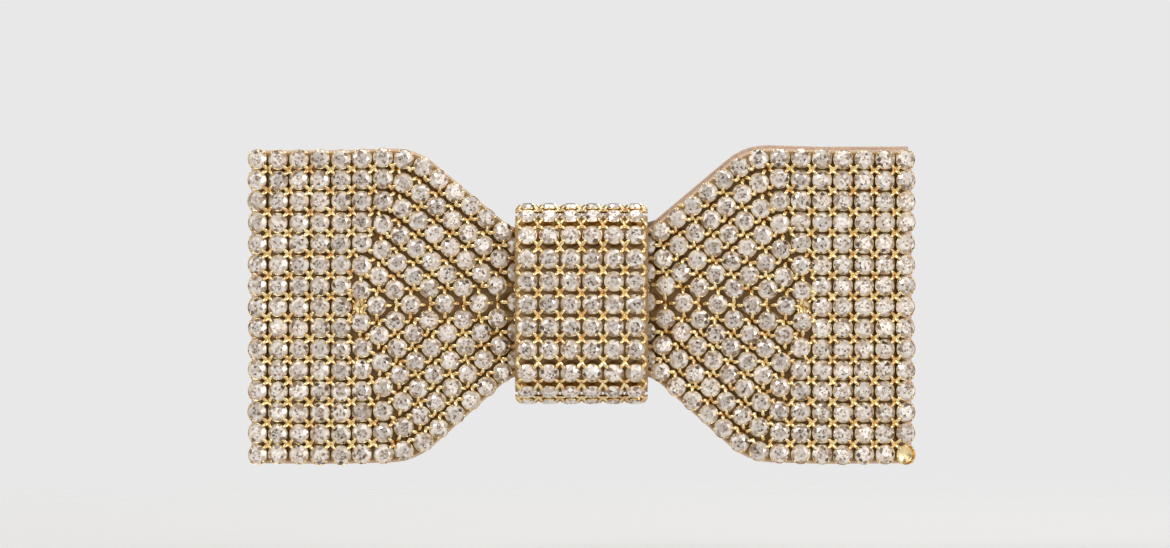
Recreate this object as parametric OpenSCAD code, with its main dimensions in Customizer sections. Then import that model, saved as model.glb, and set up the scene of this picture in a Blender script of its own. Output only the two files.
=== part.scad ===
// Bow-shaped hair clip: two padded wings and a knot covered in cup-set rhinestones,
// fixed to a sprung barrette. Millimetres. The clip is upright, as it is worn:
// +X to its right seen from the front, -Y to the front, +Z up.
// The origin is the middle of the gap that holds the hair.

/* [Rhinestones] */
// Diameter of a stone
stone_d = 3.1; // [2.6:0.1:3.1]
// Height of the stone's faceted crown
crown_h = 0.6; // [0.4:0.1:0.8]
// Depth of the stone below its widest line
pavilion_h = 1.2; // [0.8:0.1:1.3]
// Outer diameter of the cup that holds a stone
cup_d = 3.3; // [3.2:0.02:3.32]
// Thickness of the cup's floor
cup_floor = 0.15; // [0.1:0.05:0.2]

/* [Wings] */
// Rows of stones above the middle row, and the same below it
rows_above = 7; // [7:1:7]
// Distance between two rows
row_pitch = 3.5; // [3.45:0.05:3.8]
// Distance from the bow's middle to the outermost column
edge_column_x = 53.5; // [52:0.5:56]
// Distance between columns on the flat part of a wing
column_pitch = 3.45; // [3.42:0.01:3.5]
// Distance between columns where the rows run in to the knot
inner_column_pitch = 3.4; // [3.38:0.01:3.45]
// Angle at which the gathered rows run in to the knot
gather_angle = 41; // [38:1:44]
// Where the first row from the middle bends towards the knot
first_bend_x = 37.5; // [36:0.5:39]
// How much nearer to the knot each next row bends
bend_step = 1.55; // [1.4:0.05:1.7]
// Bend radius of the first row, which grows by one millimetre a row
first_bend_r = 4; // [3:0.5:5]
// Height of the gathered waist
waist_h = 25.2; // [24:0.2:26]
// How far the waist stands above the middle of the wings
waist_lift = 0.8; // [0:0.1:1]
// How far a wing's front swells out from the waist
front_swell = 2.9; // [2:0.1:3.5]
// How far a wing's back swells out from the waist
back_swell = 1.5; // [1:0.1:1.8]
// Thickness of the gathered waist
waist_t = 4.7; // [4:0.1:5]
// Thickness of the fabric under the stones
lining_t = 0.4; // [0.3:0.05:0.5]
// Thickness of the felt on a wing's back
felt_t = 0.8; // [0.5:0.1:1]
// How far the right wing's felt shows above its stones
felt_rise = 0.9; // [0:0.1:1]

/* [Knot] */
// Width of the knot
knot_w = 22; // [21.8:0.1:23]
// Height of the knot's band, without its stones
knot_h = 29.4; // [29:0.1:30]
// Bend radius of the knot's band at the front
knot_front_r = 6.5; // [6:0.1:7]
// Bend radius of the knot's band at the back
knot_back_r = 1.5; // [1.4:0.1:2]
// Thickness of the padding in front of the waist
knot_pad_t = 3.9; // [3:0.1:5]
// Thickness of the knot's fabric
strap_t = 0.5; // [0.4:0.1:0.6]
// Distance between the knot's rows of stones
knot_row_pitch = 3.75; // [3.7:0.01:3.8]
// Distance between the knot's columns of stones
knot_column_pitch = 3.58; // [3.5:0.01:3.6]
// Height of the knot's middle above the middle of the wings
knot_lift = 0.5; // [0.2:0.1:0.8]
// Thickness of the thread wound round the waist
thread_t = 0.7; // [0.5:0.1:0.7]
// Thickness of the glue between the knot and the barrette
glue_t = 0.3; // [0.2:0.1:0.5]

/* [Barrette] */
// Length of the base plate
plate_l = 80; // [78:1:82]
// Width of the base plate
plate_w = 9; // [8.5:0.5:9.5]
// Thickness of the base plate
plate_t = 0.8; // [0.6:0.1:1]
// Radius that the base plate is curved to
plate_r = 169; // [160:1:180]
// Gap for the hair between the plate and the closed arm, at the middle
hair_gap = 7.8; // [7.6:0.1:8.4]
// Distance from the middle to the hinge, and to the catch
hinge_x = 38; // [37:0.5:38.5]
// Diameter of the hinge pin
pin_d = 1.2; // [1:0.1:1.4]
// Width of the arm
arm_w = 6; // [5.6:0.1:6]
// Thickness of the arm
arm_t = 0.9; // [0.8:0.1:1]
// Radius that the arm is curved to
arm_r = 600; // [560:10:700]
// Length of the slot in the arm
arm_slot_l = 50; // [40:1:54]
// Width of the slot in the arm
arm_slot_w = 2.8; // [2:0.1:3]
// Thickness of the tension bar
bar_t = 0.4; // [0.3:0.05:0.5]
// Width of the tension bar
bar_w = 5; // [4:0.1:5.4]
// Radius that the tension bar is curved to
bar_r = 233; // [228:1:238]
// Gap between the tension bar and the plate, where they are nearest
bar_gap = 1.4; // [1.35:0.05:1.5]
// Diameter of the holes for sewing
sewing_hole_d = 1.4; // [1.2:0.1:1.6]
// Distance from the middle to a sewing hole
sewing_hole_x = 24; // [22:0.5:26]
// Diameter of the sewing thread
sewing_thread_d = 0.6; // [0.4:0.05:0.7]

/* [Hidden] */
$fn = 48;
LARGE_FN = 360;  // for curves of a large radius

GOLD = [0.86, 0.70, 0.36];
CRYSTAL = [0.90, 0.86, 0.86];
NUDE = [0.80, 0.64, 0.50];
STEEL = [0.72, 0.73, 0.75];
TALL = 80;      // longer than any piece that it cuts
FIT = 0.02;     // clearance of pieces that are fixed in each other
RUN = 0.05;     // clearance of pieces that turn on each other

// Depths, from the hair gap forwards to the front of the knot
plate_in_y = -hair_gap / 2;
plate_out_y = plate_in_y - plate_t;
strap_back_y = plate_out_y - glue_t;
waist_back_y = strap_back_y - strap_t - thread_t;
waist_front_y = waist_back_y - waist_t;
waist_mid_y = (waist_front_y + waist_back_y) / 2;
knot_front_y = waist_front_y - thread_t - knot_pad_t - strap_t;

// A wing swells between the knot's edge and its own outer edge
END_MARGIN = 1.1;   // from the outermost column's middle to the pad's end
wing_end_x = edge_column_x + END_MARGIN;
swell_from_x = knot_w / 2;
wing_mid_x = (swell_from_x + wing_end_x) / 2;
half_span = (wing_end_x - swell_from_x) / 2;
function swell_radius(sag) = (half_span * half_span + sag * sag) / (2 * sag);
front_r = swell_radius(front_swell);
back_r = swell_radius(back_swell);
front_axis_y = waist_front_y - front_swell + front_r;
back_axis_y = waist_back_y + back_swell - back_r;

// Rows of a wing: straight from the outer edge, then round a bend, then slanting to the knot.
// k is the row's number from the middle, and s the way along it from the outermost column.
function bend_x(k) = first_bend_x - bend_step * (k - 1);
function bend_r(k) = first_bend_r + (k - 1);
function flat_l(k) = edge_column_x - bend_x(k) - bend_r(k) * tan(gather_angle / 2);
function bend_l(k) = bend_r(k) * gather_angle * PI / 180;
function on_bend(k, a) =
    [edge_column_x - flat_l(k) - bend_r(k) * sin(a), k * row_pitch - bend_r(k) * (1 - cos(a))];
function row_point(k, s) =
    s < flat_l(k) ? [edge_column_x - s, k * row_pitch]
    : s < flat_l(k) + bend_l(k) ? on_bend(k, (s - flat_l(k)) / bend_r(k) * 180 / PI)
    : on_bend(k, gather_angle)
        - (s - flat_l(k) - bend_l(k)) * [cos(gather_angle), sin(gather_angle)];

// The gathered rows rise a little on their way to the knot
LIFT_FROM_X = 40;
LIFT_TO_X = 14;
function lift(x) = waist_lift * min(1, max(0, (LIFT_FROM_X - x) / (LIFT_FROM_X - LIFT_TO_X)));
function lifted(p, side) = [p[0], side * p[1] + lift(p[0])];

// Stones of a row until it dives into the fold along the middle, and those on the fold itself
FLAT_STEPS = 6;
function column_s(c) =
    column_pitch * min(c - 1, FLAT_STEPS) + inner_column_pitch * max(c - 1 - FLAT_STEPS, 0);
function columns(k) = min(4 + 2 * k, 14);
MIDDLE_COLUMNS = 5;
FOLD_STONES = 4;
row_seats = [
    for (side = [1, -1], k = [1:rows_above], c = [1:columns(k)])
        lifted(row_point(k, column_s(c)), side)
];
middle_seats = [for (c = [1:MIDDLE_COLUMNS]) [edge_column_x - column_s(c), 0]];
fold_seats = [
    for (k = [1:FOLD_STONES]) let (x = row_point(k, column_s(5 + 2 * k))[0]) [x, lift(x)]
];
wing_seats = concat(row_seats, middle_seats, fold_seats);
// The lower outer corner of the right wing has lost its stone
lost_seat = lifted(row_point(rows_above, 0), -1);

// Knot: stones go round the band, over the front and round its bends
knot_columns = 6;
knot_rows_each_way = 6;
knot_flat = knot_h / 2 - knot_front_r;
LINK_H = 0.8;   // height over the fabric at which the cups are joined
knot_link_r = knot_front_r + LINK_H;
knot_bend_l = knot_link_r * PI / 2;

// Cup profile and stone profile, turned about their own axis, standing on the fabric
module cup() {
    wall_top = cup_floor + pavilion_h + 0.1;
    bore_r = stone_d / 2 + FIT;
    rotate_extrude()
        polygon([
            [0, 0], [cup_d / 2, 0], [cup_d / 2, wall_top], [bore_r, wall_top],
            [bore_r, cup_floor], [0, cup_floor]
        ]);
}

module stone() {
    point_y = cup_floor + 0.05;
    point_r = stone_d * 0.08;
    girdle_h = 0.1;
    table_r = stone_d * 0.3;
    rotate_extrude()
        polygon([
            [0, point_y], [point_r, point_y], [stone_d / 2, point_y + pavilion_h],
            [stone_d / 2, point_y + pavilion_h + girdle_h],
            [table_r, point_y + pavilion_h + girdle_h + crown_h],
            [0, point_y + pavilion_h + girdle_h + crown_h]
        ]);
}

// Puts a child on the swollen front of a wing, standing square to the fabric
module on_wing(seat) {
    a = asin((seat[0] - wing_mid_x) / front_r);
    r = front_r + lining_t;
    translate([wing_mid_x + r * sin(a), front_axis_y - r * cos(a), seat[1]])
        rotate([0, 0, a])
            rotate([90, 0, 0])
                children();
}

module wing_cups() {
    for (seat = wing_seats) on_wing(seat) cup();
}

module wing_stones(seats) {
    for (seat = seats) on_wing(seat) stone();
}

// Puts a child on the knot's band, n rows from the middle
module on_knot(column, n) {
    s = abs(n) * knot_row_pitch;
    bend = min(max(s - knot_flat, 0), knot_bend_l);
    past = max(s - knot_flat - knot_bend_l, 0);
    a = bend / knot_link_r * 180 / PI;
    z = min(s, knot_flat) + knot_front_r * sin(a);
    y = knot_front_y + knot_front_r * (1 - cos(a)) + past;
    side = n < 0 ? -1 : 1;
    x = (column - (knot_columns + 1) / 2) * knot_column_pitch;
    translate([x, y, side * z + knot_lift])
        rotate([-side * a, 0, 0])
            rotate([90, 0, 0])
                children();
}

module each_knot_seat() {
    for (column = [1:knot_columns], n = [-knot_rows_each_way:knot_rows_each_way])
        on_knot(column, n)
            children();
}

// Outline of a wing seen from the front, from the middle of the waist to the outer edge
EDGE_MARGIN = 0.47;  // from the outermost row's middle to the pad's edge, in rows
edge_k = rows_above + EDGE_MARGIN;
edge_bend_end = on_bend(edge_k, gather_angle);
corner_x = edge_bend_end[0] - (edge_bend_end[1] - waist_h / 2) / tan(gather_angle);
CORNER_CUT = 1.2;   // how far the outer corners are rounded off
BEND_STEPS = 8;
module wing_outline(grow = 0) {
    half = concat(
        [[0, waist_h / 2], [corner_x, waist_h / 2]],
        [for (i = [BEND_STEPS:-1:0]) on_bend(edge_k, gather_angle * i / BEND_STEPS)],
        [[wing_end_x + grow - CORNER_CUT, edge_k * row_pitch],
         [wing_end_x + grow, edge_k * row_pitch - CORNER_CUT]]
    );
    count = len(half);
    polygon(concat(
        [for (p = half) lifted(p, 1)],
        [for (i = [count - 1:-1:0]) lifted(half[i], -1)]
    ));
}

// Keeps what lies within the wing's outline
module within_outline(grow = 0, rise = 0) {
    intersection() {
        translate([0, 0, rise])
            rotate([90, 0, 0])
                linear_extrude(TALL, center = true)
                    wing_outline(grow);
        children();
    }
}

// Section of a wing seen from above, made thicker in front, behind and at its end
module swollen_section(front = 0, back = 0, end = 0, from_x = swell_from_x) {
    intersection() {
        translate([wing_mid_x, front_axis_y]) circle(front_r + front, $fn = LARGE_FN);
        translate([wing_mid_x, back_axis_y]) circle(back_r + back, $fn = LARGE_FN);
        translate([from_x, waist_front_y - TALL / 2])
            square([wing_end_x + end - from_x, TALL]);
    }
}

module section_prism() {
    linear_extrude(TALL, center = true) children();
}

module wing_pad() {
    within_outline()
        section_prism()
            union() {
                swollen_section();
                translate([0, waist_front_y]) square([swell_from_x + 1, waist_t]);
            }
}

module wing_lining() {
    within_outline(lining_t)
        section_prism()
            difference() {
                swollen_section(front = lining_t, end = lining_t);
                swollen_section(from_x = swell_from_x - 1);
            }
}

module wing_felt(rise = 0) {
    within_outline(lining_t, rise)
        section_prism()
            difference() {
                swollen_section(back = felt_t, end = lining_t);
                swollen_section(front = 1, end = 1, from_x = swell_from_x - 1);
            }
}

module mirrored() {
    mirror([1, 0, 0]) children();
}

module left_stones() {
    color(CRYSTAL) mirrored() wing_stones(wing_seats);
}

module right_stones() {
    color(CRYSTAL) wing_stones([for (s = wing_seats) if (norm(s - lost_seat) > 1) s]);
}

module knot_stones() {
    color(CRYSTAL) each_knot_seat() stone();
}

module left_cups() {
    color(GOLD) mirrored() wing_cups();
}

module right_cups() {
    color(GOLD) wing_cups();
}

module knot_cups() {
    color(GOLD) each_knot_seat() cup();
}

module left_lining() {
    color(NUDE) mirrored() wing_lining();
}

module right_lining() {
    color(NUDE) wing_lining();
}

module left_pad() {
    color("wheat") mirrored() wing_pad();
}

module right_pad() {
    color("wheat") wing_pad();
}

module left_felt() {
    color(NUDE) mirrored() wing_felt();
}

module right_felt() {
    color(NUDE) wing_felt(felt_rise);
}

// Thread wound round the gathered waist
module waist_thread() {
    turns_w = 9;
    color("tan")
        translate([-turns_w / 2, 0, 0])
            rotate([90, 0, 90])
                linear_extrude(turns_w)
                    difference() {
                        wound_section();
                        waist_section(0);
                    }
}

// Section of the waist seen from the side, as [y, z]
module waist_section(grow) {
    translate([waist_front_y - grow, waist_lift - waist_h / 2 - grow])
        square([waist_t + 2 * grow, waist_h + 2 * grow]);
}

// The same section with the thread round it, which turns the corners in a bend
module wound_section() {
    translate([-thread_t, 0]) waist_section(0);
    translate([thread_t, 0]) waist_section(0);
    translate([0, -thread_t]) waist_section(0);
    translate([0, thread_t]) waist_section(0);
    for (y = [waist_front_y, waist_back_y], z = [-1, 1])
        translate([y, waist_lift + z * waist_h / 2]) circle(thread_t);
}

// Section of the knot's band seen from the side as [y, z], drawn in by a distance
module band_section(in) {
    front_y = knot_front_y + in;
    back_y = strap_back_y - in;
    front_bend = knot_front_r - in;
    back_bend = knot_back_r - in;
    half = knot_h / 2 - in;
    // the front bends are larger than half the band, so they are cut off at its back
    translate([0, knot_lift])
        intersection() {
            translate([front_y, -half]) square([back_y - front_y, 2 * half]);
            union() {
                translate([front_y, front_bend - half])
                    square([front_bend, 2 * (half - front_bend)]);
                translate([back_y - back_bend, back_bend - half])
                    square([back_bend, 2 * (half - back_bend)]);
                translate([front_y + front_bend, -half])
                    square([back_y - back_bend - front_y - front_bend, 2 * half]);
                for (side = [1, -1]) {
                    translate([front_y + front_bend, side * (half - front_bend)])
                        circle(front_bend);
                    translate([back_y - back_bend, side * (half - back_bend)])
                        circle(back_bend);
                }
            }
        }
}

// Extrudes a section given as [y, z] across the bow's middle
module across(w) {
    translate([-w / 2, 0, 0])
        rotate([90, 0, 90])
            linear_extrude(w)
                children();
}

module knot_pad() {
    inset = 0.3;
    color("wheat")
        across(knot_w - 2 * inset)
            difference() {
                band_section(strap_t);
                waist_section(thread_t);
                translate([waist_mid_y, -TALL / 2]) square(TALL);
            }
}

module knot_strap() {
    color(NUDE)
        across(knot_w)
            difference() {
                band_section(0);
                band_section(strap_t);
            }
}

// Barrette: curved strips, each given by the face that looks at the head
function strip_y(x, mid_y, r) = mid_y + r - sqrt(r * r - x * x);
plate_axis_y = plate_in_y + plate_r;
arm_back_y = hair_gap / 2 + arm_t;
hinge_y = strip_y(hinge_x, arm_back_y, arm_r) - arm_t / 2;

// Keeps an outline seen from the front out of a strip bent round an upright axis
module curved_strip(mid_y, r, t) {
    intersection() {
        translate([0, mid_y + r, -TALL / 2])
            difference() {
                cylinder(r = r + t, h = TALL, $fn = LARGE_FN);
                translate([0, 0, -1]) cylinder(r = r, h = TALL + 2, $fn = LARGE_FN);
            }
        rotate([90, 0, 0]) linear_extrude(TALL, center = true) children();
    }
}

module rounded_bar(l, w, r) {
    square([l - 2 * r, w], center = true);
    square([l, w - 2 * r], center = true);
    for (x = [-1, 1], z = [-1, 1])
        translate([x * (l / 2 - r), z * (w / 2 - r)]) circle(r);
}

// A straight pin or bore upright at the hinge
module at_hinge(r, l) {
    translate([-hinge_x, hinge_y, -l / 2]) cylinder(r = r, h = l);
}

ear_t = 0.8;
ear_r = 1.9;
sewing_z = 3.4;
keeper_x = -30.8;
keeper_rivet_z = 3.45;
keeper_rivet_r = 0.5;
catch_rivet_r = 1;

// Everything on the head's side of a face of the plate, given by its radius
module plate_disc(r) {
    translate([0, plate_axis_y, -TALL / 2]) cylinder(r = r, h = TALL, $fn = LARGE_FN);
}

// A hole through the plate and what lies on it
module plate_hole(x, z, r) {
    translate([x, 0, z]) rotate([90, 0, 0]) cylinder(r = r, h = TALL / 2, center = true);
}

module ears() {
    intersection() {
        for (side = [0, 1]) mirror([0, 0, side])
            translate([0, 0, plate_w / 2 - ear_t]) {
                translate([-hinge_x, hinge_y, 0]) cylinder(r = ear_r, h = ear_t);
                translate([-hinge_x - ear_r, plate_in_y, 0])
                    cube([2 * ear_r, hinge_y - plate_in_y, ear_t]);
            }
        plate_disc(plate_r + plate_t);
    }
}

module base_plate() {
    corner = 2;
    color(STEEL)
        difference() {
            union() {
                curved_strip(plate_in_y, plate_r, plate_t) rounded_bar(plate_l, plate_w, corner);
                ears();
            }
            at_hinge(pin_d / 2 + FIT, TALL);
            for (x = [-1, 1], z = [-1, 1])
                plate_hole(x * sewing_hole_x, z * sewing_z, sewing_hole_d / 2);
            for (z = [-1, 1])
                plate_hole(keeper_x, z * keeper_rivet_z, keeper_rivet_r + FIT);
            on_catch() rotate([90, 0, 0])
                cylinder(r = catch_rivet_r + FIT, h = TALL / 4, center = true);
        }
}

module hinge_pin() {
    head_r = 0.95;
    head_h = 0.3;
    head_z = plate_w / 2 + 0.05;
    color(STEEL)
        union() {
            at_hinge(pin_d / 2, 2 * head_z);
            for (side = [0, 1]) mirror([0, 0, side])
                translate([-hinge_x, hinge_y, head_z]) cylinder(r = head_r, h = head_h);
        }
}

module clasp_arm() {
    knuckle_r = 1.5;
    knuckle_l = plate_w - 2 * ear_t - 0.4;
    tip_x = 41;
    slot_end_r = arm_slot_w / 2;
    color(STEEL)
        difference() {
            union() {
                curved_strip(arm_back_y, arm_r, arm_t)
                    difference() {
                        translate([(tip_x - hinge_x) / 2, 0])
                            rounded_bar(tip_x + hinge_x, arm_w, 1.6);
                        square([arm_slot_l - arm_slot_w, arm_slot_w], center = true);
                        for (side = [-1, 1])
                            translate([side * (arm_slot_l / 2 - slot_end_r), 0])
                                circle(slot_end_r);
                    }
                at_hinge(knuckle_r, knuckle_l);
            }
            at_hinge(pin_d / 2 + RUN, TALL);
        }
}

// Tension bar: a leaf over the plate, loose under the keeper at the hinge end
bar_low_x = -3.3;
bar_end_x = 31;
bar_back_y = plate_in_y + bar_gap + bar_t;
bar_overrun = 1;    // length of the bar past its bead
function bar_y(x) = strip_y(x - bar_low_x, bar_back_y, bar_r);
// The bar rocks on a bead rolled into it under the keeper
module tension_bar() {
    bead_r = 0.32;
    color(STEEL)
        union() {
            translate([bar_low_x, 0, 0])
                curved_strip(bar_back_y, bar_r, bar_t)
                    translate([-bar_low_x - bar_overrun / 2, 0])
                        rounded_bar(2 * bar_end_x + bar_overrun, bar_w, 1);
            translate([-bar_end_x, bar_y(-bar_end_x) - bar_t / 2, -bar_w / 2])
                cylinder(r = bead_r, h = bar_w);
        }
}

channel_gap = 0.2;
keeper_channel_y = bar_y(-bar_end_x - bar_overrun) + channel_gap;
keeper_roof_t = 0.5;
module bar_keeper() {
    keeper_l = 3;
    side_gap = 0.2;
    color(STEEL)
        difference() {
            intersection() {
                translate([keeper_x - keeper_l / 2, plate_in_y, side_gap - plate_w / 2])
                    cube([keeper_l, keeper_channel_y + keeper_roof_t - plate_in_y, plate_w - 2 * side_gap]);
                plate_disc(plate_r);
            }
            translate([keeper_x - keeper_l, plate_in_y, -bar_w / 2 - channel_gap])
                cube([2 * keeper_l, keeper_channel_y - plate_in_y, bar_w + 2 * channel_gap]);
            for (z = [-1, 1])
                plate_hole(keeper_x, z * keeper_rivet_z, keeper_rivet_r + FIT);
        }
}

// A rivet whose grip runs from 0 up to h along its own axis
module rivet(r, h, head_r, head_h) {
    rotate_extrude()
        polygon([
            [0, -head_h], [head_r, -head_h], [head_r, 0], [r, 0], [r, h],
            [head_r, h], [head_r, h + head_h], [0, h + head_h]
        ]);
}

module keeper_rivets() {
    front_y = strip_y(keeper_x, plate_in_y, plate_r) - plate_t - 5 * FIT;
    top_y = keeper_channel_y + keeper_roof_t + FIT;
    color("gray")
        for (z = [-1, 1])
            translate([keeper_x, front_y, z * keeper_rivet_z])
                rotate([-90, 0, 0])
                    rivet(keeper_rivet_r, top_y - front_y, 1.5 * keeper_rivet_r, 0.3);
}

// Catch: its own frame lies along the plate's end, with y square to the plate
catch_angle = asin(hinge_x / plate_r);
module on_catch() {
    translate([hinge_x, strip_y(hinge_x, plate_in_y, plate_r), 0])
        rotate([0, 0, catch_angle])
            children();
}
catch_seat_y = 0.08;
catch_plate_t = 0.5;
catch_top_y = catch_seat_y + catch_plate_t;

module catch_plate() {
    l = 10;
    color(STEEL)
        on_catch()
            difference() {
                translate([-l / 2, catch_seat_y, -plate_w / 2]) cube([l, catch_plate_t, plate_w]);
                rotate([90, 0, 0])
                    cylinder(r = catch_rivet_r + FIT, h = TALL / 4, center = true);
            }
}

module catch_rivet() {
    color("gray")
        on_catch()
            translate([0, -plate_t - FIT, 0])
                rotate([-90, 0, 0])
                    rivet(catch_rivet_r, plate_t + catch_top_y + 2 * FIT, 1.7 * catch_rivet_r, 0.4);
}

// Pinch finger: a spring leaf beside the arm on a round foot, a lug over the arm, a flared tab
finger_t = 0.6;
finger_in_z = 3.9;
finger_pivot_x = 0.5;
module upper_finger() {
    foot_r = 0.55;
    foot_y = catch_top_y + 0.1;
    top_y = 7.2;
    leaf_from_x = -4.5;
    flare_from_x = 1.5;
    tab_x = 5.5;
    flare = 1.2;
    lug_in_z = arm_w / 2 + 0.15;
    lug_l = 2;
    lug_t = 0.6;
    color(STEEL)
        on_catch()
            union() {
                translate([0, top_y, 0])
                    rotate([90, 0, 0])
                        linear_extrude(top_y - foot_y)
                            polygon([
                                [leaf_from_x, finger_in_z], [flare_from_x, finger_in_z],
                                [tab_x, finger_in_z + flare],
                                [tab_x, finger_in_z + flare + finger_t],
                                [flare_from_x, finger_in_z + finger_t],
                                [leaf_from_x, finger_in_z + finger_t]
                            ]);
                translate([leaf_from_x + 0.5, top_y - lug_t, lug_in_z])
                    cube([lug_l, lug_t, finger_in_z + finger_t / 2 - lug_in_z]);
                translate([finger_pivot_x, foot_y, finger_in_z + finger_t / 2])
                    rotate([-90, 0, 0])
                        cylinder(r = foot_r, h = 1.5);
            }
}

module lower_finger() {
    mirror([0, 0, 1]) upper_finger();
}

// Glue between the knot's strap and the plate
module glue_pad() {
    l = 18;
    w = 7.6;
    color("ivory") translate([-l / 2, strap_back_y, -w / 2]) cube([l, glue_t, w]);
}

// Two loops of thread that sew one end of the plate to the felt
module stitches() {
    thread_r = sewing_thread_d / 2;
    over_y = strip_y(sewing_hole_x, plate_in_y, plate_r) + thread_r + 0.1;
    felt_r = back_r + felt_t;
    felt_y = back_axis_y
        + sqrt(felt_r * felt_r - (sewing_hole_x - wing_mid_x) * (sewing_hole_x - wing_mid_x));
    outer_z = plate_w / 2 + thread_r + 0.3;
    color("tan")
        for (side = [0, 1]) mirror([0, 0, side])
            translate([sewing_hole_x, 0, 0])
                union() {
                    for (z = [sewing_z, outer_z])
                        translate([0, felt_y + FIT, z]) rotate([-90, 0, 0])
                            cylinder(r = thread_r, h = over_y - felt_y - FIT);
                    translate([0, over_y, sewing_z]) cylinder(r = thread_r, h = outer_z - sewing_z);
                    for (z = [sewing_z, outer_z]) translate([0, over_y, z]) sphere(thread_r);
                }
}

module left_stitches() {
    mirrored() stitches();
}

module right_stitches() {
    stitches();
}

left_stones();
right_stones();
knot_stones();
left_cups();
right_cups();
knot_cups();
left_lining();
right_lining();
left_pad();
right_pad();
left_felt();
right_felt();
waist_thread();
knot_pad();
knot_strap();
glue_pad();
base_plate();
hinge_pin();
clasp_arm();
tension_bar();
bar_keeper();
keeper_rivets();
catch_plate();
catch_rivet();
upper_finger();
lower_finger();
left_stitches();
right_stitches();
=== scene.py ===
"""Looks of the rhinestone bow clip: faceted stones in pronged gold cups on padded fabric wings."""
import math
import random

import bmesh
import bpy
from mathutils import Matrix, Vector


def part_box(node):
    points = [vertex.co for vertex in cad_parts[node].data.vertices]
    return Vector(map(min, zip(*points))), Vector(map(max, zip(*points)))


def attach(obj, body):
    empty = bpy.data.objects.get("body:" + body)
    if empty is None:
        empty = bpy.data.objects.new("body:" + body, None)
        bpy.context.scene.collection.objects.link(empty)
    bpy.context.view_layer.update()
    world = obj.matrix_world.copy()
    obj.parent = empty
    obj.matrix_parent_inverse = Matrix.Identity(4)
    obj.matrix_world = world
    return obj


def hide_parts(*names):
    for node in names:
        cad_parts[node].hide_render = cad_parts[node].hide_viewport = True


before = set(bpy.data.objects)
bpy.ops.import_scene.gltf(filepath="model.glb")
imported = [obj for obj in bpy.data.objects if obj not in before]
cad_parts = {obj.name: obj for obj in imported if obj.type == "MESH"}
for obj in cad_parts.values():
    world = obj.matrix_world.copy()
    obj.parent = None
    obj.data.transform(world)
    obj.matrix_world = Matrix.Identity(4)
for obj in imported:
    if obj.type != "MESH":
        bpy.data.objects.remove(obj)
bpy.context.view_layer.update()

MM = 0.001

# ---------------------------------------------------------------- layout, in millimetres
STONE_R = 1.6
CUP_R = 1.65
ROWS_ABOVE = 7
ROW_PITCH = 3.5
EDGE_COLUMN_X = 53.5
COLUMN_PITCH = 3.45
INNER_PITCH = 3.4
FLAT_STEPS = 6
GATHER = math.radians(41)
DIAGONAL = math.radians(45)
FIRST_BEND_X = 37.5
BEND_STEP = 1.55
FIRST_BEND_R = 4.0
WAIST_H = 25.2
WAIST_LIFT = 0.8
LIFT_FROM_X = 40.0
LIFT_TO_X = 14.0
MIDDLE_COLUMNS = 5
FIRST_ROW_COLUMNS = 6
MOST_COLUMNS = 14
FOLD_STONES = 4

KNOT_COLUMNS = 6
KNOT_ROWS_EACH_WAY = 6
KNOT_ROW_PITCH = 3.75
KNOT_COLUMN_PITCH = 3.58
KNOT_FRONT_R = 6.5
KNOT_LIFT = 0.5
LINK_H = 0.8

# Cups that run in under the knot, and a bare one where the middle row ends
BARE_GAP = 2.9
BARE_X = EDGE_COLUMN_X - (MIDDLE_COLUMNS - 1) * COLUMN_PITCH - BARE_GAP
BARE_SCALE = 0.75
TUCK_X = 0.9
TUCK_DEPTH = 0.75
TUCK_TURN = math.radians(-24)

LINING_T = 0.4
FELT_T = 0.8
FELT_RISE = 0.9
FRONT_SWELL = 2.9
BACK_SWELL = 1.5
END_MARGIN = 1.1
EDGE_MARGIN_ROWS = 0.47
PANEL_END_X = EDGE_COLUMN_X + END_MARGIN


def node_low(name):
    return Vector(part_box(name)[0]) / MM


def node_high(name):
    return Vector(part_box(name)[1]) / MM


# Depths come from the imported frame: the knot's strap, the wings' linings and their felts
KNOT_FRONT_Y = node_low("knot_strap").y
KNOT_HALF_H = (node_high("knot_strap").z - node_low("knot_strap").z) / 2
KNOT_HALF_W = node_high("knot_strap").x
FRONT_Y = node_low("right_lining").y
BACK_Y = node_high("right_felt").y
SWELL_MID_X = (KNOT_HALF_W + PANEL_END_X) / 2
HALF_SPAN = (PANEL_END_X - KNOT_HALF_W) / 2


def swell_radius(sag):
    """Radius of a wing's swollen face that rises by sag over the wing's width."""
    return (HALF_SPAN**2 + sag**2) / (2 * sag)


FRONT_R = swell_radius(FRONT_SWELL) + LINING_T
FRONT_AXIS_Y = FRONT_Y + FRONT_R


# ---------------------------------------------------------------- rows of a wing
def on_bend(k, angle):
    """A place on row k's bend towards the knot, at an angle from the bend's start."""
    radius = FIRST_BEND_R + k - 1
    start = FIRST_BEND_X - BEND_STEP * (k - 1) + radius * math.tan(GATHER / 2)
    return (
        start - radius * math.sin(angle),
        k * ROW_PITCH - radius * (1 - math.cos(angle)),
    )


def row_point(k, s):
    """A place on row k, s along it from the outermost column: (x, z, slope)."""
    radius = FIRST_BEND_R + k - 1
    flat = EDGE_COLUMN_X - FIRST_BEND_X + BEND_STEP * (k - 1) - radius * math.tan(GATHER / 2)
    if s < flat:
        return EDGE_COLUMN_X - s, k * ROW_PITCH, 0.0
    if s < flat + radius * GATHER:
        angle = (s - flat) / radius
        return (*on_bend(k, angle), angle)
    x, z = on_bend(k, GATHER)
    past = s - flat - radius * GATHER
    return x - past * math.cos(GATHER), z - past * math.sin(GATHER), GATHER


def lift(x):
    """How far the gathered rows have risen at x."""
    t = (LIFT_FROM_X - x) / (LIFT_FROM_X - LIFT_TO_X)
    return WAIST_LIFT * min(1.0, max(0.0, t))


def column_s(c):
    """How far along its row column c is, counted from the outermost one."""
    return COLUMN_PITCH * min(c - 1, FLAT_STEPS) + INNER_PITCH * max(c - 1 - FLAT_STEPS, 0)


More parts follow.
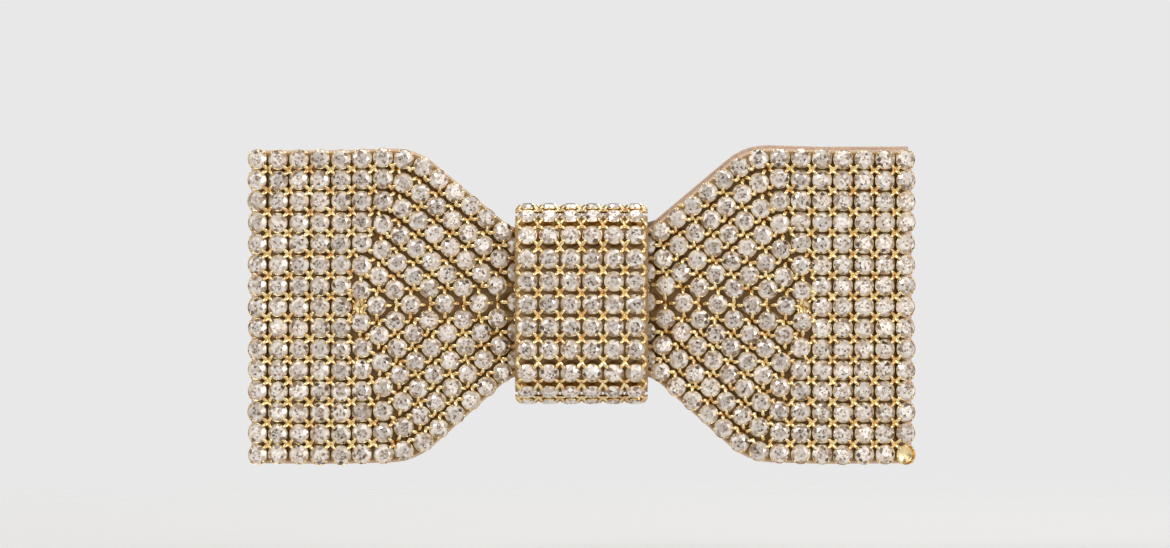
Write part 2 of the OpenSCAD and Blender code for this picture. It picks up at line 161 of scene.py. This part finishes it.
SETTLE = 0.07
SETTLE_TURN = 0.06  # radians


def settled(seat, chance):
    """A seat moved and turned a little, as cups sewn to cloth settle."""
    x, z, slope = seat
    return (
        x + chance.uniform(-SETTLE, SETTLE),
        z + chance.uniform(-SETTLE, SETTLE),
        slope + chance.uniform(-SETTLE_TURN, SETTLE_TURN),
    )


def columns(k):
    """How many stones row k has before it dives into the fold or under the knot."""
    return min(FIRST_ROW_COLUMNS + 2 * (k - 1), MOST_COLUMNS)


def wing_seats(seed):
    """Every stone of the right wing as (x, z, slope of its row)."""
    chance = random.Random(seed)
    seats = []
    for side in (1, -1):
        for k in range(1, ROWS_ABOVE + 1):
            for c in range(1, columns(k) + 1):
                x, z, slope = row_point(k, column_s(c))
                seats.append((x, side * z + lift(x), side * slope))
    for c in range(1, MIDDLE_COLUMNS + 1):
        seats.append((EDGE_COLUMN_X - column_s(c), 0.0, 0.0))
    for k in range(1, FOLD_STONES + 1):
        x = row_point(k, column_s(columns(k) + 1))[0]
        seats.append((x, lift(x), DIAGONAL))
    return [settled(seat, chance) for seat in seats]


def tucked_seats():
    """Cups that run in under the knot, between the ends of the rows: (x, z, slope)."""
    ends = sorted(
        side * row_point(k, column_s(columns(k)))[1] + WAIST_LIFT
        for side in (1, -1) for k in range(FOLD_STONES + 1, ROWS_ABOVE + 1)
    )
    return [
        (KNOT_HALF_W + TUCK_X, (low + high) / 2, DIAGONAL)
        for low, high in zip(ends, ends[1:])
    ]


def front_of_wing(x, z):
    """Where the lining's face is at (x, z), and how far it has turned about the upright."""
    angle = math.asin((x - SWELL_MID_X) / FRONT_R)
    return Vector((x, FRONT_AXIS_Y - FRONT_R * math.cos(angle), z)), angle


def wing_matrix(seat, mirrored, depth=0.0, turn=0.0):
    """Where a cup stands on a wing: sunk by a depth and turned towards the knot if tucked."""
    x, z, slope = seat
    place, angle = front_of_wing(x, z)
    angle += turn
    sign = -1 if mirrored else 1
    place.x *= sign
    place.y += depth
    return (
        Matrix.Translation(place)
        @ Matrix.Rotation(sign * angle, 4, "Z")
        @ Matrix.Rotation(math.radians(90), 4, "X")
        @ Matrix.Rotation(sign * slope, 4, "Z")
    )


def knot_matrix(column, n):
    """Where a cup stands on the knot's band, n rows up from its middle."""
    s = abs(n) * KNOT_ROW_PITCH
    flat = KNOT_HALF_H - KNOT_FRONT_R
    link_r = KNOT_FRONT_R + LINK_H
    bend = min(max(s - flat, 0), link_r * math.pi / 2)
    past = max(s - flat - link_r * math.pi / 2, 0)
    angle = bend / link_r
    side = -1 if n < 0 else 1
    z = min(s, flat) + KNOT_FRONT_R * math.sin(angle)
    y = KNOT_FRONT_Y + KNOT_FRONT_R * (1 - math.cos(angle)) + past
    x = (column - (KNOT_COLUMNS + 1) / 2) * KNOT_COLUMN_PITCH
    return (
        Matrix.Translation((x, y, side * z + KNOT_LIFT))
        @ Matrix.Rotation(-side * angle, 4, "X")
        @ Matrix.Rotation(math.radians(90), 4, "X")
    )


# ---------------------------------------------------------------- mesh helpers
def ring(radius, height, count, turn=0.0):
    """Points evenly round an upright axis."""
    step = 2 * math.pi / count
    return [
        Vector((radius * math.cos(turn + i * step), radius * math.sin(turn + i * step), height))
        for i in range(count)
    ]


def bridge(first, second, count):
    """Quads between two rings of vertex numbers that start at first and second."""
    return [
        (first + i, first + (i + 1) % count, second + (i + 1) % count, second + i)
        for i in range(count)
    ]


def build(name, verts, faces, material, smooth=False, painted_reflections=None):
    """A mesh object from points in millimetres, with an optional painted colour for each face,
    such as a stone facet's painted reflection.
    """
    mesh = bpy.data.meshes.new(name)
    mesh.from_pydata([v * MM for v in verts], [], faces)
    mesh.polygons.foreach_set("use_smooth", [smooth] * len(mesh.polygons))
    if painted_reflections:
        # The stones' painted reflections are kept as a colour for each face
        layer = mesh.color_attributes.new("painted_reflection", "FLOAT_COLOR", "CORNER")
        for polygon, painted_reflection in zip(mesh.polygons, painted_reflections):
            for corner in polygon.loop_indices:
                layer.data[corner].color = (*painted_reflection, 1.0)
    mesh.materials.append(material)
    mesh.validate()
    mesh.update()
    piece = bpy.data.objects.new(name, mesh)
    bpy.context.scene.collection.objects.link(piece)
    return piece


def repeat(shape, matrices):
    """One shape, given as (points, faces), copied to each place."""
    points, faces = shape
    verts, all_faces = [], []
    for m in matrices:
        start = len(verts)
        verts.extend(m @ p for p in points)
        all_faces.extend(tuple(start + i for i in f) for f in faces)
    return verts, all_faces


# ---------------------------------------------------------------- the stone and its cup
FACETS = 8
GIRDLE_Z = 1.42
GIRDLE_T = 0.12
TABLE_Z = 2.05
TABLE_R = 0.86
SHARD_R = 0.42
CROWN_R = 1.2
CROWN_DROP = 0.22
TIP_Z = 0.25


def stone_shape():
    """Crown of a round brilliant: table shards, stars, kites and upper girdle facets."""
    sides = 2 * FACETS
    half_step = math.pi / FACETS
    points = [Vector((0, 0, TABLE_Z))]
    points += ring(SHARD_R, TABLE_Z, FACETS, half_step)
    points += ring(TABLE_R, TABLE_Z, FACETS)
    points += ring(CROWN_R, TABLE_Z - CROWN_DROP, FACETS, half_step)
    points += ring(STONE_R, GIRDLE_Z, sides)
    points += ring(STONE_R, GIRDLE_Z - GIRDLE_T, sides)
    points.append(Vector((0, 0, TIP_Z)))
    # The number of the first point of each ring above, and of the tip
    inner, table, mid, girdle = (1 + FACETS * i for i in range(4))
    belt = girdle + sides
    tip = belt + sides
    faces = []
    for i in range(FACETS):
        j = (i + 1) % FACETS
        faces.append((0, inner + i, inner + j))
        faces.append((inner + i, table + i, table + j))
        faces.append((inner + i, table + j, inner + j))
        faces.append((table + i, mid + i, table + j))
        g0, g1, g2 = (girdle + (2 * i + step) % sides for step in range(3))
        faces.append((table + j, mid + i, g2, mid + j))
        faces.append((mid + i, g0, g1))
        faces.append((mid + i, g1, g2))
    faces += [(a, d, c, b) for a, b, c, d in bridge(girdle, belt, sides)]
    faces += [(belt + (i + 1) % sides, belt + i, tip) for i in range(sides)]
    return points, faces


CUP_SIDES = 28
CUP_PROFILE = [
    (1.45, 0.0), (CUP_R, 0.25), (CUP_R, 1.3), (1.67, 1.42), (1.65, 1.5), (1.6, 1.48), (1.58, 1.3),
]
# A claw's middle line from its root to its tip: distance from the axis, height, half width
CLAW = [
    (2.7, 0.95, 0.28), (2.4, 1.32, 0.4), (2.05, 1.58, 0.42), (1.76, 1.78, 0.34),
    (1.52, 1.86, 0.24), (1.28, 1.82, 0.12),
]
SHORT_CLAW = [
    (1.7, 0.9, 0.28), (1.76, 1.3, 0.3), (1.74, 1.6, 0.28), (1.55, 1.8, 0.2), (1.32, 1.8, 0.12),
]
# Corners of a claw's cross-section: share of its half width, drop below its back
CLAW_SECTION = [(-1, 0.22), (-0.6, 0.0), (0.6, 0.0), (1, 0.22), (0, 0.3)]
CLAW_ANGLES = [DIAGONAL + math.pi / 2 * i for i in range(4)]
# From a cup's axis to where the claws of four neighbours meet
CLAW_REACH = 2.46


def cup_shape(long_claws):
    """A drawn cup with four claws bent over the stone, each long or short."""
    points = [Vector((0, 0, 0))]
    for radius, height in CUP_PROFILE:
        points += ring(radius, height, CUP_SIDES)
    faces = [(0, 1 + (i + 1) % CUP_SIDES, 1 + i) for i in range(CUP_SIDES)]
    for level in range(len(CUP_PROFILE) - 1):
        faces += bridge(1 + level * CUP_SIDES, 1 + (level + 1) * CUP_SIDES, CUP_SIDES)
    corners = len(CLAW_SECTION)
    for angle, is_long in zip(CLAW_ANGLES, long_claws):
        turn = Matrix.Rotation(angle, 4, "Z")
        start = len(points)
        spine = CLAW if is_long else SHORT_CLAW
        for radius, height, half in spine:
            for side, drop in CLAW_SECTION:
                points.append(turn @ Vector((radius, side * half, height - drop)))
        for level in range(len(spine) - 1):
            faces += bridge(start + level * corners, start + (level + 1) * corners, corners)
        last = start + (len(spine) - 1) * corners
        faces.append(tuple(range(start + corners - 1, start - 1, -1)))
        faces.append(tuple(range(last, last + corners)))
    return points, faces


# Painted reflections, from highlight to dark, drawn on the facets in place of what the glass and
# its foil reflect: colour and how often it comes
FACET_PAINTED_REFLECTIONS = [
    ((0.90, 0.83, 0.77), 8),
    ((0.81, 0.72, 0.64), 7),
    ((0.66, 0.55, 0.46), 5),
    ((0.49, 0.38, 0.29), 4),
    ((0.31, 0.21, 0.14), 3),
    ((0.12, 0.08, 0.05), 1),
    ((0.95, 0.92, 0.88), 3),
]
PAINTED_REFLECTION_LEVELS = (0.86, 1.04)
TILT = 0.045  # radians


def stone_field(name, matrices, seed, material):
    """Stones that each stand a little askew, with a painted reflection, from highlight to dark,
    drawn for every facet.
    """
    chance = random.Random(seed)
    points, faces = stone_shape()
    colours = [c for c, weight in FACET_PAINTED_REFLECTIONS for _ in range(weight)]
    turned = []
    painted_reflections = []
    for m in matrices:
        wobble = Matrix.Rotation(chance.uniform(-TILT, TILT), 4, "X")
        wobble @= Matrix.Rotation(chance.uniform(-TILT, TILT), 4, "Y")
        turned.append(m @ wobble @ Matrix.Rotation(chance.uniform(0, math.tau), 4, "Z"))
        # Every stone's painted reflections are made a little brighter or darker as a whole
        level = chance.uniform(*PAINTED_REFLECTION_LEVELS)
        for _ in faces:
            painted_reflection = chance.choice(colours)
            painted_reflections.append(tuple(min(1.0, level * v) for v in painted_reflection))
    verts, all_faces = repeat((points, faces), turned)
    return build(name, verts, all_faces, material, painted_reflections=painted_reflections)


def cup_field(name, matrices, inside, material):
    """Cups whose claws reach out to their neighbours, but not past the edge of the cloth."""
    verts, faces = [], []
    for m in matrices:
        tips = [
            m @ Vector((CLAW_REACH * math.cos(a), CLAW_REACH * math.sin(a), 0))
            for a in CLAW_ANGLES
        ]
        points, cup_faces = cup_shape([inside(tip) for tip in tips])
        start = len(verts)
        verts.extend(m @ p for p in points)
        faces.extend(tuple(start + i for i in f) for f in cup_faces)
    return build(name, verts, faces, material, smooth=True)


# ---------------------------------------------------------------- materials
def new_material(name):
    material = bpy.data.materials.new(name)
    material.use_nodes = True
    nodes = material.node_tree.nodes
    return material, nodes, material.node_tree.links, nodes["Principled BSDF"]


def add_noise(nodes, links, scale, detail=4.0):
    """Noise fixed to the object."""
    coords = nodes.new("ShaderNodeTexCoord")
    noise = nodes.new("ShaderNodeTexNoise")
    noise.inputs["Scale"].default_value = scale
    noise.inputs["Detail"].default_value = detail
    links.new(coords.outputs["Object"], noise.inputs["Vector"])
    return noise


def add_ramp(nodes, links, source, stops):
    """Colours given as (place, colour), chosen by source."""
    ramp = nodes.new("ShaderNodeValToRGB")
    while len(ramp.color_ramp.elements) < len(stops):
        ramp.color_ramp.elements.new(0.5)
    for element, (place, colour) in zip(ramp.color_ramp.elements, stops):
        element.position = place
        element.color = (*colour, 1.0)
    links.new(source, ramp.inputs["Fac"])
    return ramp


def add_bump(nodes, links, source, bsdf, strength, distance):
    """Fine relief from source, its depth in metres."""
    bump = nodes.new("ShaderNodeBump")
    bump.inputs["Strength"].default_value = strength
    bump.inputs["Distance"].default_value = distance
    links.new(source, bump.inputs["Height"])
    links.new(bump.outputs["Normal"], bsdf.inputs["Normal"])


def crystal_material():
    """Foiled glass: each facet's painted reflection, from highlight to dark, under a clear coat.
    """
    material, nodes, links, bsdf = new_material("foiled_crystal")
    painted_reflection = nodes.new("ShaderNodeAttribute")
    painted_reflection.attribute_name = "painted_reflection"
    # The painted reflections and highlights of the facets become the base colour
    links.new(painted_reflection.outputs["Color"], bsdf.inputs["Base Color"])
    bsdf.inputs["Metallic"].default_value = 0.45
    bsdf.inputs["Roughness"].default_value = 0.16
    bsdf.inputs["Coat Weight"].default_value = 1.0
    bsdf.inputs["Coat Roughness"].default_value = 0.02
    bsdf.inputs["Coat IOR"].default_value = 1.55
    return material


def gold_material():
    """Light gold plating, a little redder in places."""
    material, nodes, links, bsdf = new_material("light_gold")
    noise = add_noise(nodes, links, 900.0)
    ramp = add_ramp(
        nodes, links, noise.outputs["Fac"],
        [(0.32, (0.66, 0.36, 0.15)), (0.5, (0.90, 0.69, 0.35)), (0.72, (1.0, 0.88, 0.58))],
    )
    links.new(ramp.outputs["Color"], bsdf.inputs["Base Color"])
    bsdf.inputs["Metallic"].default_value = 1.0
    bsdf.inputs["Roughness"].default_value = 0.22
    return material


def steel_material(name, colour, roughness):
    """Sheet metal, faintly mottled."""
    material, nodes, links, bsdf = new_material(name)
    noise = add_noise(nodes, links, 260.0, 6.0)
    dark = tuple(0.82 * v for v in colour)
    ramp = add_ramp(nodes, links, noise.outputs["Fac"], [(0.35, dark), (0.65, colour)])
    links.new(ramp.outputs["Color"], bsdf.inputs["Base Color"])
    rough = nodes.new("ShaderNodeMapRange")
    rough.inputs["To Min"].default_value = roughness * 0.75
    rough.inputs["To Max"].default_value = roughness * 1.35
    links.new(noise.outputs["Fac"], rough.inputs["Value"])
    links.new(rough.outputs["Result"], bsdf.inputs["Roughness"])
    bsdf.inputs["Metallic"].default_value = 1.0
    add_bump(nodes, links, noise.outputs["Fac"], bsdf, 0.08, 0.0001)
    return material


def cloth_material(name, colour, threads, depth, sheen=0.3):
    """Woven cloth: two crossed sets of threads over a soft blotch."""
    material, nodes, links, bsdf = new_material(name)
    noise = add_noise(nodes, links, 300.0)
    dark = tuple(0.78 * v for v in colour)
    ramp = add_ramp(nodes, links, noise.outputs["Fac"], [(0.3, dark), (0.7, colour)])
    links.new(ramp.outputs["Color"], bsdf.inputs["Base Color"])
    coords = nodes.new("ShaderNodeTexCoord")
    waves = []
    for direction in ("X", "Z"):
        wave = nodes.new("ShaderNodeTexWave")
        wave.bands_direction = direction
        wave.inputs["Scale"].default_value = threads
        wave.inputs["Distortion"].default_value = 0.6
        links.new(coords.outputs["Object"], wave.inputs["Vector"])
        waves.append(wave)
    cross = nodes.new("ShaderNodeMath")
    cross.operation = "MULTIPLY"
    links.new(waves[0].outputs["Fac"], cross.inputs[0])
    links.new(waves[1].outputs["Fac"], cross.inputs[1])
    bsdf.inputs["Roughness"].default_value = 0.85
    bsdf.inputs["Sheen Weight"].default_value = sheen
    add_bump(nodes, links, cross.outputs["Value"], bsdf, 0.5, depth)
    return material


def two_faced_cloth(name, front, back, threads, depth, change_y):
    """Cloth with a dark painted shade over its front, for the gaps between the cups, and bare
    cloth behind change_y, in metres.
    """
    material = cloth_material(name, back, threads, depth)
    nodes, links = material.node_tree.nodes, material.node_tree.links
    bsdf = nodes["Principled BSDF"]
    cloth_colour = bsdf.inputs["Base Color"].links[0].from_socket
    coords = nodes.new("ShaderNodeTexCoord")
    split = nodes.new("ShaderNodeSeparateXYZ")
    links.new(coords.outputs["Object"], split.inputs["Vector"])
    behind = nodes.new("ShaderNodeMath")
    behind.operation = "GREATER_THAN"
    behind.inputs[1].default_value = change_y
    links.new(split.outputs["Y"], behind.inputs[0])
    # In front of change_y the colour is the dark painted shade
    mix = nodes.new("ShaderNodeMix")
    mix.data_type = "RGBA"
    mix.inputs["A"].default_value = (*front, 1.0)
    links.new(behind.outputs["Value"], mix.inputs["Factor"])
    links.new(cloth_colour, mix.inputs["B"])
    links.new(mix.outputs["Result"], bsdf.inputs["Base Color"])
    return material


def fibre_material(name, colour, scale, depth):
    """Felt, foam or wound thread: a fine uneven surface."""
    material, nodes, links, bsdf = new_material(name)
    noise = add_noise(nodes, links, scale, 8.0)
    dark = tuple(0.66 * v for v in colour)
    ramp = add_ramp(nodes, links, noise.outputs["Fac"], [(0.3, dark), (0.7, colour)])
    links.new(ramp.outputs["Color"], bsdf.inputs["Base Color"])
    bsdf.inputs["Roughness"].default_value = 0.95
    bsdf.inputs["Sheen Weight"].default_value = 0.4
    add_bump(nodes, links, noise.outputs["Fac"], bsdf, 0.7, depth)
    return material


# ---------------------------------------------------------------- padded wings
def edge_profile():
    """Upper outline of a wing, from the middle of the waist to the outer edge."""
    k = ROWS_ABOVE + EDGE_MARGIN_ROWS
    end = on_bend(k, GATHER)
    corner = end[0] - (end[1] - WAIST_H / 2) / math.tan(GATHER)
    points = [(0.0, WAIST_H / 2), (corner, WAIST_H / 2)]
    points += [on_bend(k, GATHER * i / 8) for i in range(8, -1, -1)]
    points.append((PANEL_END_X + END_MARGIN, k * ROW_PITCH))
    return points


EDGE = edge_profile()
OUTLINE_MARGIN = 0.15


def half_height(x):
    """Half the height of a wing at x, read off its outline."""
    for (x0, z0), (x1, z1) in zip(EDGE, EDGE[1:]):
        if x <= x1:
            return z0 + (z1 - z0) * (x - x0) / (x1 - x0)
    return EDGE[-1][1]


def inside_wing(place):
    """Whether a claw's tip at this place would still be over the wing's cloth."""
    x = abs(place.x)
    edge = half_height(x) - OUTLINE_MARGIN
    return x < PANEL_END_X - OUTLINE_MARGIN and abs(place.z - lift(x)) < edge


def inside_knot(place):
    """Whether a claw's tip at this place would still be over the knot's cloth."""
    return abs(place.x) < KNOT_HALF_W - OUTLINE_MARGIN


def back_of_wing(x, extra):
    """How far back a wing reaches at x, with an extra thickness on its padding."""
    radius = swell_radius(BACK_SWELL)
    apex = BACK_Y - FELT_T + extra
    return apex - radius + math.sqrt(radius**2 - (x - SWELL_MID_X) ** 2)


def rounded_loop(y0, y1, z0, z1, radius, steps=4):
    """A rounded rectangle in the upright plane that looks along X: [(y, z)]."""
    corners = [
        (y0 + radius, z0 + radius, 180), (y1 - radius, z0 + radius, 270),
        (y1 - radius, z1 - radius, 0), (y0 + radius, z1 - radius, 90),
    ]
    loop = []
    for y, z, start in corners:
        for i in range(steps + 1):
            a = math.radians(start + 90 * i / steps)
            loop.append((y + radius * math.cos(a), z + radius * math.sin(a)))
    return loop


def lofted(name, sections, material, mirrored):
    """A closed skin through loops given as (x, [(y, z)])."""
    sign = -1 if mirrored else 1
    count = len(sections[0][1])
    verts = [Vector((sign * x, y, z)) for x, loop in sections for y, z in loop]
    faces = []
    for level in range(len(sections) - 1):
        faces += bridge(level * count, (level + 1) * count, count)
    faces.append(tuple(range(count - 1, -1, -1)))
    last = (len(sections) - 1) * count
    faces.append(tuple(range(last, last + count)))
    piece = build(name, verts, faces, material, smooth=True)
    mesh = bmesh.new()
    mesh.from_mesh(piece.data)
    bmesh.ops.recalc_face_normals(mesh, faces=mesh.faces)
    mesh.to_mesh(piece.data)
    mesh.free()
    return piece


CUSHION_STEPS = 44
CUSHION_MARGIN = 0.1
END_ROLL = 1.6      # how far from its end a cushion starts to round off
MOST_INSET = 1.3
EDGE_R = 0.75
FRONT_NORMAL_Y = -0.9
FELT_STEPS = 30
FELT_MARGIN = 0.2
FELT_OVERHANG = 0.1
FELT_GAP = 0.02
FELT_EDGE_R = 0.3


def wing_cushion(name, material, mirrored):
    """The covered padding, with its cloth turned round every edge and a dark painted shade on its
    front between the cups.
    """
    sections = []
    span = PANEL_END_X + LINING_T
    for i in range(CUSHION_STEPS + 1):
        x = span * i / CUSHION_STEPS
        inset = 0.0
        if x > span - END_ROLL:
            past = (x - span + END_ROLL) / END_ROLL
            inset = END_ROLL * (1 - math.sqrt(max(0.0, 1 - past**2)))
        inset = min(inset, MOST_INSET)
        swell_x = max(x, KNOT_HALF_W)
        front = front_of_wing(swell_x, 0)[0].y + inset
        back = back_of_wing(swell_x, 0.0) - inset
        half = half_height(x) - inset - CUSHION_MARGIN
        middle = lift(x)
        loop = rounded_loop(front, back, middle - half, middle + half, EDGE_R)
        sections.append((x, loop))
    cushion = lofted(name, sections, material, mirrored)
    # Forward-looking faces get a dark painted shade for the gaps between the cups
    cushion.data.materials.append(GAP_SHADE_CLOTH)
    for polygon in cushion.data.polygons:
        if polygon.normal.y < FRONT_NORMAL_Y:
            polygon.material_index = 1
    return cushion


def wing_back(name, material, mirrored, rise):
    """The felt on a wing's back, a little proud of the cushion's upper edge."""
    sections = []
    span = PANEL_END_X + FELT_OVERHANG - KNOT_HALF_W
    for i in range(FELT_STEPS + 1):
        x = KNOT_HALF_W + span * i / FELT_STEPS
        back = back_of_wing(x, FELT_T)
        front = back - FELT_T + FELT_GAP
        half = half_height(x) - FELT_MARGIN
        middle = lift(x)
        loop = rounded_loop(front, back, middle - half, middle + half + rise, FELT_EDGE_R, 3)
        sections.append((x, loop))
    return lofted(name, sections, material, mirrored)


# ---------------------------------------------------------------- pieces
CRYSTAL = crystal_material()
GOLD = gold_material()
# The dark colour is painted shade for the gaps between the cups, on the wings' fronts and the knot
# strap's front
GAP_SHADE_COLOUR = (0.42, 0.27, 0.13)
NUDE_COLOUR = (0.70, 0.50, 0.37)
WEAVE = (700.0, 0.00008)    # scale of the threads, depth of the weave in metres
STRAP_CHANGE_Y = -8 * MM
GAP_SHADE_CLOTH = cloth_material("painted_gap_shade", GAP_SHADE_COLOUR, *WEAVE, sheen=0.0)
STRAP = two_faced_cloth("strap_cloth", GAP_SHADE_COLOUR, NUDE_COLOUR, *WEAVE, STRAP_CHANGE_Y)
CLOTH = cloth_material("nude_cloth", NUDE_COLOUR, *WEAVE)
FELT = fibre_material("nude_felt", (0.66, 0.47, 0.35), 1500.0, 0.0002)
FOAM = fibre_material("cream_foam", (0.78, 0.70, 0.56), 1200.0, 0.0003)
THREAD = fibre_material("tan_thread", (0.62, 0.45, 0.32), 2500.0, 0.0001)
GLUE = fibre_material("set_glue", (0.80, 0.76, 0.66), 200.0, 0.0001)
STEEL = steel_material("nickel_plated_steel", (0.80, 0.80, 0.80), 0.24)
SPRING = steel_material("spring_steel", (0.70, 0.71, 0.73), 0.18)
RIVET = steel_material("peened_steel", (0.60, 0.60, 0.61), 0.32)

ROOT = "bow"
LOST_STONE = (EDGE_COLUMN_X, -ROWS_ABOVE * ROW_PITCH)
for side, mirrored, seed in (("left", True, 11), ("right", False, 23)):
    seats = wing_seats(seed)
    places = [wing_matrix(seat, mirrored) for seat in seats]
    kept = [
        m for m, seat in zip(places, seats)
        if mirrored or (Vector(seat[:2]) - Vector(LOST_STONE)).length > STONE_R
    ]
    tucked = [wing_matrix(seat, mirrored, TUCK_DEPTH, TUCK_TURN) for seat in tucked_seats()]
    places += tucked
    kept += tucked
    bare = wing_matrix((BARE_X, 0.0, 0.0), mirrored)
    places.append(bare @ Matrix.Scale(BARE_SCALE, 4))
    stones = stone_field(f"{side}_wing_stones", kept, seed, CRYSTAL)
    cups = cup_field(f"{side}_wing_cups", places, inside_wing, GOLD)
    cushion = wing_cushion(f"{side}_wing_cushion", CLOTH, mirrored)
    felt = wing_back(f"{side}_wing_felt", FELT, mirrored, 0.0 if mirrored else FELT_RISE)
    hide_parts(f"{side}_stones")
    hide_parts(f"{side}_cups")
    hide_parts(f"{side}_lining", f"{side}_pad")
    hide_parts(f"{side}_felt")
    for piece in (stones, cups, cushion, felt):
        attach(piece, ROOT)

knot_places = [
    knot_matrix(column, n)
    for column in range(1, KNOT_COLUMNS + 1)
    for n in range(-KNOT_ROWS_EACH_WAY, KNOT_ROWS_EACH_WAY + 1)
]
knot_stones = stone_field("knot_band_stones", knot_places, 37, CRYSTAL)
knot_cups = cup_field("knot_band_cups", knot_places, inside_knot, GOLD)
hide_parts("knot_stones")
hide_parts("knot_cups")
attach(knot_stones, ROOT)
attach(knot_cups, ROOT)

CARRIED = {
    "knot_strap": STRAP, "knot_pad": FOAM, "waist_thread": THREAD, "glue_pad": GLUE,
    "base_plate": STEEL, "clasp_arm": STEEL, "bar_keeper": STEEL, "tension_bar": SPRING,
    "catch_plate": SPRING, "upper_finger": SPRING, "lower_finger": SPRING,
    "hinge_pin": RIVET, "keeper_rivets": RIVET, "catch_rivet": RIVET,
    "left_stitches": THREAD, "right_stitches": THREAD,
}
for node, material in CARRIED.items():
    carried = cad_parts[node]
    if isinstance(carried, str):
        carried = bpy.data.objects[carried]
    carried.data.materials.clear()
    carried.data.materials.append(material)

# ---------------------------------------------------------------- stage
PALE = 0.807
SENSOR_WIDTH = 36
# The view is as wide as this at the front of the wings
FRAME_WIDTH = 194.03 * MM
FRAME_PLANE_Y = -14 * MM
CAMERA_PLACE = Vector((0.58, -800, 5.473)) * MM

camera_data = bpy.data.cameras.new("camera")
camera_data.sensor_width = SENSOR_WIDTH
camera_data.lens = SENSOR_WIDTH * (FRAME_PLANE_Y - CAMERA_PLACE.y) / FRAME_WIDTH
camera_data.clip_start = 0.01
camera_data.clip_end = 50
camera = bpy.data.objects.new("camera", camera_data)
camera.location = CAMERA_PLACE
camera.rotation_euler = (math.radians(90), 0, 0)
bpy.context.scene.collection.objects.link(camera)
bpy.context.scene.camera = camera


FLOOR_Z = -45 * MM
FLOOR_GREY = 0.75
FADE_FROM = 50 * MM
FADE_TO = 450 * MM


def floor_material():
    """Pale floor that fades into the backdrop away from the object."""
    material, nodes, links, bsdf = new_material("pale_floor")
    bsdf.inputs["Base Color"].default_value = (FLOOR_GREY, FLOOR_GREY, FLOOR_GREY, 1)
    bsdf.inputs["Roughness"].default_value = 0.9
    coords = nodes.new("ShaderNodeTexCoord")
    length = nodes.new("ShaderNodeVectorMath")
    length.operation = "LENGTH"
    links.new(coords.outputs["Object"], length.inputs[0])
    fade = nodes.new("ShaderNodeMapRange")
    fade.interpolation_type = "SMOOTHSTEP"
    fade.inputs["From Min"].default_value = FADE_FROM
    fade.inputs["From Max"].default_value = FADE_TO
    links.new(length.outputs["Value"], fade.inputs["Value"])
    clear = nodes.new("ShaderNodeBsdfTransparent")
    mix = nodes.new("ShaderNodeMixShader")
    links.new(fade.outputs["Result"], mix.inputs["Fac"])
    links.new(bsdf.outputs["BSDF"], mix.inputs[1])
    links.new(clear.outputs["BSDF"], mix.inputs[2])
    links.new(mix.outputs["Shader"], nodes["Material Output"].inputs["Surface"])
    return material


floor_mesh = bpy.data.meshes.new("floor")
floor_mesh.from_pydata([(-1, -1, 0), (1, -1, 0), (1, 1, 0), (-1, 1, 0)], [], [(0, 1, 2, 3)])
floor_mesh.materials.append(floor_material())
floor = bpy.data.objects.new("floor", floor_mesh)
floor.location = (0, 0, FLOOR_Z)
bpy.context.scene.collection.objects.link(floor)


def area_light(name, place, width, height, power):
    """A rectangular light that looks at the object, in metres and watts."""
    data = bpy.data.lights.new(name, "AREA")
    data.shape = "RECTANGLE"
    data.size = width
    data.size_y = height
    data.energy = power
    light = bpy.data.objects.new(name, data)
    light.location = place
    light.rotation_euler = (-Vector(place)).to_track_quat("-Z", "Y").to_euler()
    bpy.context.scene.collection.objects.link(light)


area_light("key", (-0.5, -0.8, 0.7), 0.3, 0.3, 3.5)
area_light("fill", (0.8, -0.7, 0.25), 0.3, 0.6, 2.2)
area_light("top", (0.0, 0.1, 0.9), 0.7, 0.4, 1.6)
area_light("rear", (0.3, 0.9, 0.4), 0.6, 0.5, 2.4)


def studio_world():
    """Pale to the camera; soft bright and dark patches for what the stones reflect."""
    world = bpy.data.worlds.new("studio")
    world.use_nodes = True
    nodes, links = world.node_tree.nodes, world.node_tree.links
    room = nodes["Background"]
    coords = nodes.new("ShaderNodeTexCoord")
    noise = nodes.new("ShaderNodeTexNoise")
    noise.inputs["Scale"].default_value = 2.6
    noise.inputs["Detail"].default_value = 1.0
    links.new(coords.outputs["Generated"], noise.inputs["Vector"])
    ramp = add_ramp(
        nodes, links, noise.outputs["Fac"],
        [(0.38, (0.16, 0.15, 0.14)), (0.5, (0.6, 0.59, 0.57)), (0.62, (1.3, 1.28, 1.25))],
    )
    links.new(ramp.outputs["Color"], room.inputs["Color"])
    seen = nodes.new("ShaderNodeBackground")
    seen.inputs["Color"].default_value = (PALE, PALE, PALE, 1)
    path = nodes.new("ShaderNodeLightPath")
    mix = nodes.new("ShaderNodeMixShader")
    links.new(path.outputs["Is Camera Ray"], mix.inputs["Fac"])
    links.new(room.outputs["Background"], mix.inputs[1])
    links.new(seen.outputs["Background"], mix.inputs[2])
    links.new(mix.outputs["Shader"], nodes["World Output"].inputs["Surface"])
    bpy.context.scene.world = world


studio_world()
bpy.context.scene.view_settings.view_transform = "Standard"
